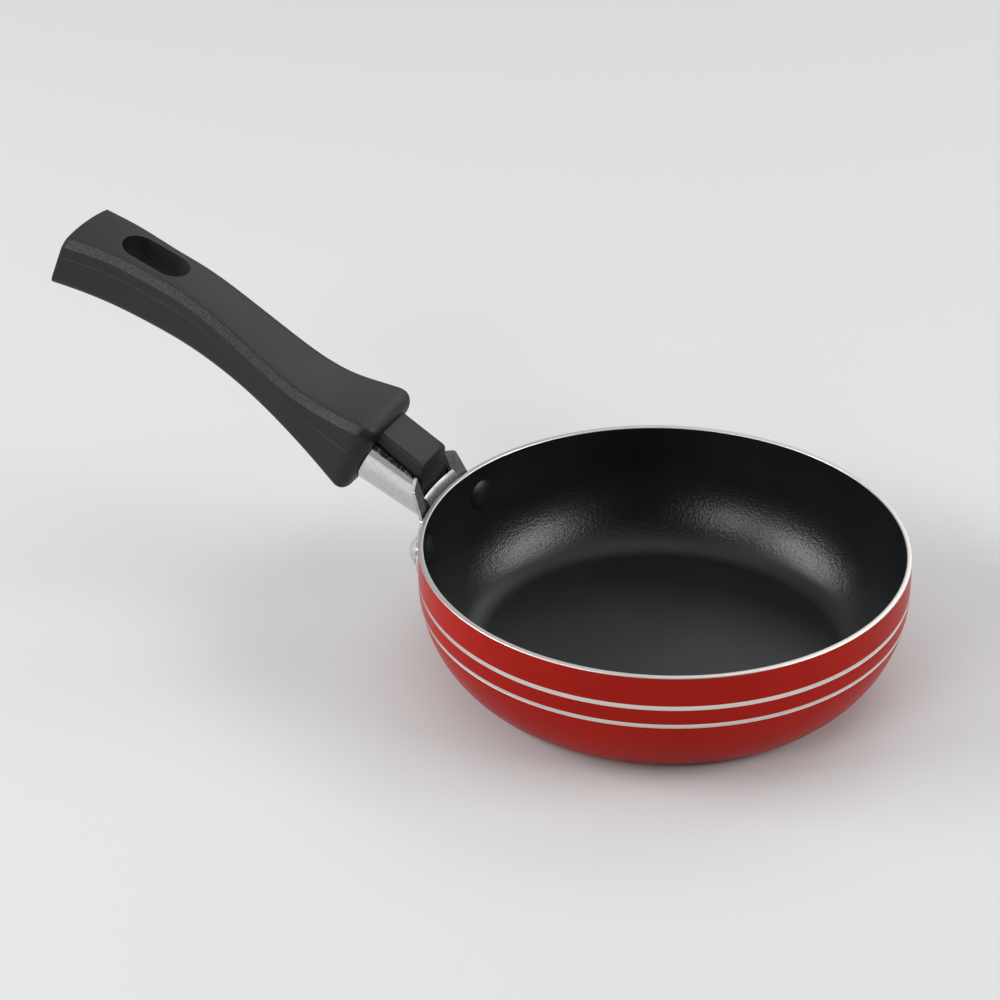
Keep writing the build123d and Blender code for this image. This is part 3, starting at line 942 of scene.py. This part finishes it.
class PAN_OT_grip(bpy.types.Operator):
    """Lofts the waisted grip with its rounded bolster, rough edge bands, hanging slot and tongue"""

    bl_idname = "omelette_pan.grip"
    bl_label = "Grip"

    def execute(self, context):
        sizes = context.scene.handle_sizes
        colours = context.scene.pan_colours
        materials = [phenolic_finish(colours.phenolic), rough_band_finish(colours.phenolic)]
        points, faces, marks = grip_mesh(sizes)
        grip = make_piece("grip", points, faces, materials, marks)
        tidy_normals(grip)
        cutter = slot_cutter(sizes)
        cut = grip.modifiers.new("hanging_slot", "BOOLEAN")
        cut.operation = "DIFFERENCE"
        cut.solver = "EXACT"
        cut.object = cutter
        apply_modifiers(grip)
        bpy.data.objects.remove(cutter)
        soften(grip, GRIP_EDGE, GRIP_CREASE)
        points, faces, marks = tongue_mesh(sizes)
        tongue = make_piece("grip_tongue", points, faces, materials, marks)
        tidy_normals(tongue)
        soften(tongue, GRIP_EDGE, GRIP_CREASE)
        for piece in (grip, tongue):
            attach(piece, BODY)
            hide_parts("handle_grip")
        return {"FINISHED"}


# ---------- small metal parts


class PAN_OT_metalwork(bpy.types.Operator):
    """Finishes the bracket, the rivets, the handle screw and the threaded insert"""

    bl_idname = "omelette_pan.metalwork"
    bl_label = "Bracket and fixings"

    def execute(self, context):
        colours = context.scene.pan_colours
        finishes = {
            "handle_bracket": chrome_finish(colours.chrome),
            "rivets": rivet_finish(colours.bare_metal, colours.coating),
            "handle_screw": plated_finish("zinc_plate", colours.zinc, 0.3),
            "threaded_insert": plated_finish("turned_brass", colours.brass, 0.24),
        }
        for name, material in finishes.items():
            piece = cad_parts[name]
            piece.data.materials.clear()
            piece.data.materials.append(material)
        return {"FINISHED"}


# ---------- stage

AIM = (0.0, 0.0, 0.03)  # what the lights and the board face
PANELS = {  # place and size
    "left": ((-1.42, -0.76, 0.96), (1.25, 0.5)),
    "front": ((-0.42, -1.57, 1.02), (0.7, 0.4)),
    "right": ((1.62, 0.35, 0.98), (1.3, 0.42)),
    "rear": ((0.24, 1.6, 1.4), (1.6, 0.8)),
    "top": ((0.0, 0.1, 1.9), (2.2, 2.0)),
}
BOARD_PLACE, BOARD_SIZE = (0.6, -1.05, 0.72), 1.4
SENSOR_WIDTH = 36.0  # mm
CLIP_START, CLIP_END = 0.01, 50.0


class PAN_OT_stage(bpy.types.Operator):
    """Lays the pale table, hangs the soft lights and sets the camera"""

    bl_idname = "omelette_pan.stage"
    bl_label = "Stage"

    def execute(self, context):
        setup = context.scene.pan_stage
        table = flat_square("table", setup.table_size, table_finish(setup.table_colour))
        set_world(context.scene, setup)
        for side, (place, size) in PANELS.items():
            soft_light(f"{side}_panel", place, size, getattr(setup, f"{side}_power"))
        board = flat_square("dark_board", BOARD_SIZE, board_finish(setup.board_colour))
        face_pan(board, BOARD_PLACE, "Z")
        board.visible_camera = False
        set_camera(context.scene, setup)
        context.scene.view_settings.view_transform = "Standard"
        return {"FINISHED"}


def flat_square(name, size, material):
    """A square about the origin, from the length of its sides in metres."""
    half = size / MILLIMETRE / 2
    corners = [(-half, -half, 0), (half, -half, 0), (half, half, 0), (-half, half, 0)]
    return make_piece(name, corners, [(0, 1, 2, 3)], [material], smooth=False)


def face_pan(thing, place, axis="-Z"):
    """Puts a thing at a place, with one of its axes towards the pan."""
    thing.location = place
    thing.rotation_euler = (Vector(AIM) - Vector(place)).to_track_quat(axis, "Y").to_euler()


def set_world(scene, setup):
    scene.world = bpy.data.worlds.new("studio")
    scene.world.use_nodes = True
    background = scene.world.node_tree.nodes["Background"]
    background.inputs["Color"].default_value = (*setup.world_colour, 1.0)
    background.inputs["Strength"].default_value = setup.world_strength


def soft_light(name, place, size, power):
    data = bpy.data.lights.new(name, "AREA")
    data.shape = "RECTANGLE"
    data.size, data.size_y = size
    data.energy = power
    lamp = bpy.data.objects.new(name, data)
    bpy.context.scene.collection.objects.link(lamp)
    face_pan(lamp, place)


def set_camera(scene, setup):
    data = bpy.data.cameras.new("camera")
    data.sensor_width = SENSOR_WIDTH
    data.lens = setup.lens
    data.clip_start, data.clip_end = CLIP_START, CLIP_END
    camera = bpy.data.objects.new("camera", data)
    scene.collection.objects.link(camera)
    camera.location = setup.camera_place
    camera.rotation_euler = Vector(setup.camera_direction).to_track_quat("-Z", "Y").to_euler()
    scene.camera = camera


# ---------- properties


def number(name, description, default, **limits):
    return FloatProperty(name=name, description=description, default=default, **limits)


def length(name, description, default):
    return number(name, f"{description}, in mm", default, min=0.0)


def angle(name, description, default):
    return number(name, f"{description}, in degrees", default)


def power(side, default):
    name, description = f"{side} light", f"Power of the {side.lower()} panel, in W"
    return number(name, description, default, min=0.0)


def count(name, description, default, min=0):
    return IntProperty(name=name, description=description, default=default, min=min)


def colour(name, description, default):
    return FloatVectorProperty(
        name=name, description=description, default=default, subtype="COLOR", min=0.0, max=1.0
    )


class PanSizes(bpy.types.PropertyGroup):
    """Sizes of the bowl, in millimetres"""

    rim_thickness: length("Rim thickness", "Thickness of the wall at the rim", 2.0)
    floor_thickness: length("Floor thickness", "Thickness of the floor", 3.0)
    side_start_drop: length("Side start", "From the rim to where the wall curves in", 13.4)
    side_radius: length("Side radius", "Outside radius of the side's curve", 43.0)
    heel_radius: length("Heel radius", "Outside radius where the side meets the base", 15.0)
    rim_edge: length("Rim edge", "Rounding of the rim's edges", 0.35)
    line_count: count("Lines", "Number of bare lines", 2)
    line_drop: length("Line drop", "From the rim to the upper line's middle", 12.4)
    line_pitch: length("Line pitch", "Distance between the lines", 7.75)
    line_height: length("Line height", "Height of each line", 1.7)
    line_depth: length("Line depth", "Depth that the lines are turned to", 0.25)
    ring_count: count("Base rings", "Number of rings in the base", 4)
    ring_inner: length("Inner ring", "Radius of the smallest base ring", 22.0)
    ring_pitch: length("Ring pitch", "Distance between base rings", 12.0)
    ring_width: length("Ring width", "Width of each base ring", 1.6)
    ring_depth: length("Ring depth", "Depth of each base ring", 0.3)
    segments: count("Segments", "Faces round the bowl", 256, min=32)


class HandleSizes(bpy.types.PropertyGroup):
    """Sizes of the grip and its tongue, in millimetres"""

    tongue_slope: angle("Tongue slope", "Slope of the tongue", 30.0)
    tongue_reach: length("Tongue reach", "From the bowl's axis to the tongue's root", 110.2)
    tongue_rise: length("Tongue rise", "Top of the tongue's root above the rim", 24.65)
    tongue_width: length("Tongue width", "Width of the tongue", 19.8)
    tongue_edge: length("Tongue edge", "Chamfer on the tongue's upper edges", 1.3)
    tongue_nose_reach: length("Tongue nose", "From the bowl's axis to the tongue's end", 93.4)
    core_back_radius: length("Core radius, back", "Round underside at the bolster", 12.1)
    core_front_radius: length("Core radius, front", "Round underside at the bowl", 11.1)
    core_back_drop: length("Core drop, back", "Centre of the underside below the top", 13.05)
    core_front_drop: length("Core drop, front", "Centre of the underside below the top", 12.3)
    grip_start: length("Grip start", "From the bowl's axis to the first station", 104.0)
    grip_length: length("Grip length", "From the first station to the last", 148.0)
    ridge_start: length("Ridge start", "Ridge above the rim at the first station", 25.6)
    ridge_rise: length("Ridge rise", "Rise of the ridge along the grip", 54.9)
    bolster_width: length("Bolster width", "Width at the first station", 40.5)
    bolster_depth: length("Bolster depth", "Ridge to belly at the first station", 45.8)
    band_width: length("Band width", "Width of the rough edge bands", 2.7)
    crown: length("Crown", "Rise of the top's middle", 0.7)
    side_draft: length("Side draft", "How much the sides close in downwards", 1.2)
    belly_radius: length("Belly radius", "Rounding of the lower edges", 3.6)
    bolster_corner: length("Bolster corner", "Rounding of the bolster's sides", 7.0)
    bolster_brow: length("Bolster brow", "Rounding of the bolster's upper edge", 6.0)
    bolster_lobe: length("Bolster lobe", "Rounding of the bolster's lower edge", 3.0)
    bolster_spare: length("Bolster spare", "Extra rounding of the bolster's upper corners", 2.5)
    bolster_lean: angle("Bolster lean", "Lean of the bolster's end from square", 1.5)
    tail_reach: length("Tail reach", "From the bowl's axis to the tail's corners", 239.5)
    tail_bulge: length("Tail bulge", "Bow of the tail's face", 1.2)
    tail_lean: angle("Tail lean", "Lean of the tail's face", 22.0)
    tail_corner: length("Tail corner", "Rounding of the tail's edges", 0.6)
    slot_reach: length("Slot reach", "From the bowl's axis to the slot's middle", 211.1)
    slot_length: length("Slot length", "Length of the hanging slot", 28.2)
    slot_width: length("Slot width", "Width of the hanging slot", 15.0)
    slot_slope: angle("Slot slope", "Slope of the hanging slot", 19.0)


class PanColours(bpy.types.PropertyGroup):
    """Colours of the finishes, linear"""

    lacquer: colour("Lacquer", "Red lacquer outside the bowl", (0.39, 0.0115, 0.0062))
    coating: colour("Coating", "Non-stick coating inside the bowl", (0.0072, 0.0078, 0.009))
    bare_metal: colour("Bare metal", "Aluminium of rim, lines and rivets", (0.82, 0.78, 0.74))
    phenolic: colour("Phenolic", "Moulded grip", (0.0052, 0.0052, 0.0053))
    chrome: colour("Chrome", "Plated bracket", (0.72, 0.72, 0.71))
    zinc: colour("Zinc", "Plated screw", (0.55, 0.56, 0.58))
    brass: colour("Brass", "Threaded insert", (0.62, 0.42, 0.15))


class PanStage(bpy.types.PropertyGroup):
    """Table, lights and camera"""

    table_colour: colour("Table", "Colour of the table", (0.68, 0.686, 0.689))
    table_size: number("Table size", "Length of the table's sides", 14.0, unit="LENGTH")
    board_colour: colour("Board", "Colour of the board behind the camera", (0.01, 0.01, 0.01))
    world_colour: colour("Surroundings", "Colour of the surroundings", (0.97, 0.985, 1.0))
    world_strength: number("Surroundings strength", "Light from all round", 0.42)
    left_power: power("Left", 18.0)
    front_power: power("Front", 6.5)
    right_power: power("Right", 16.0)
    rear_power: power("Rear", 7.4)
    top_power: power("Top", 7.0)
    lens: length("Lens", "Focal length", 111.3)
    camera_place: FloatVectorProperty(
        name="Camera place", description="Where the camera stands", unit="LENGTH",
        default=(0.3554, -0.9041, 0.6252),
    )
    camera_direction: FloatVectorProperty(
        name="Camera direction", description="Where the camera looks",
        default=(-0.3662, 0.7853, -0.4992),
    )


# ---------- panel and registration


class PAN_PT_panel(bpy.types.Panel):
    """Lists the pan's pieces and sizes in the sidebar"""

    bl_label = "Omelette Pan"
    bl_idname = "PAN_PT_panel"
    bl_space_type = "VIEW_3D"
    bl_region_type = "UI"
    bl_category = "Omelette Pan"

    def draw(self, context):
        layout = self.layout
        for operator in OPERATORS:
            layout.operator(operator.bl_idname)
        for group in GROUPS:
            box = layout.box()
            settings = getattr(context.scene, group)
            for name in settings.bl_rna.properties.keys():
                if name not in ("rna_type", "name"):
                    box.prop(settings, name)


OPERATORS = (PAN_OT_bowl, PAN_OT_grip, PAN_OT_metalwork, PAN_OT_stage)
GROUPS = {
    "pan_sizes": PanSizes,
    "handle_sizes": HandleSizes,
    "pan_colours": PanColours,
    "pan_stage": PanStage,
}


CLASSES = (*GROUPS.values(), *OPERATORS, PAN_PT_panel)


def register():
    for cls in CLASSES:
        bpy.utils.register_class(cls)
    for name, group in GROUPS.items():
        setattr(bpy.types.Scene, name, PointerProperty(type=group))


def unregister():
    for name in GROUPS:
        delattr(bpy.types.Scene, name)
    for cls in reversed(CLASSES):
        bpy.utils.unregister_class(cls)


def main():
    register()
    bpy.ops.omelette_pan.bowl()
    bpy.ops.omelette_pan.grip()
    bpy.ops.omelette_pan.metalwork()
    bpy.ops.omelette_pan.stage()


if __name__ == "__main__":
    main()
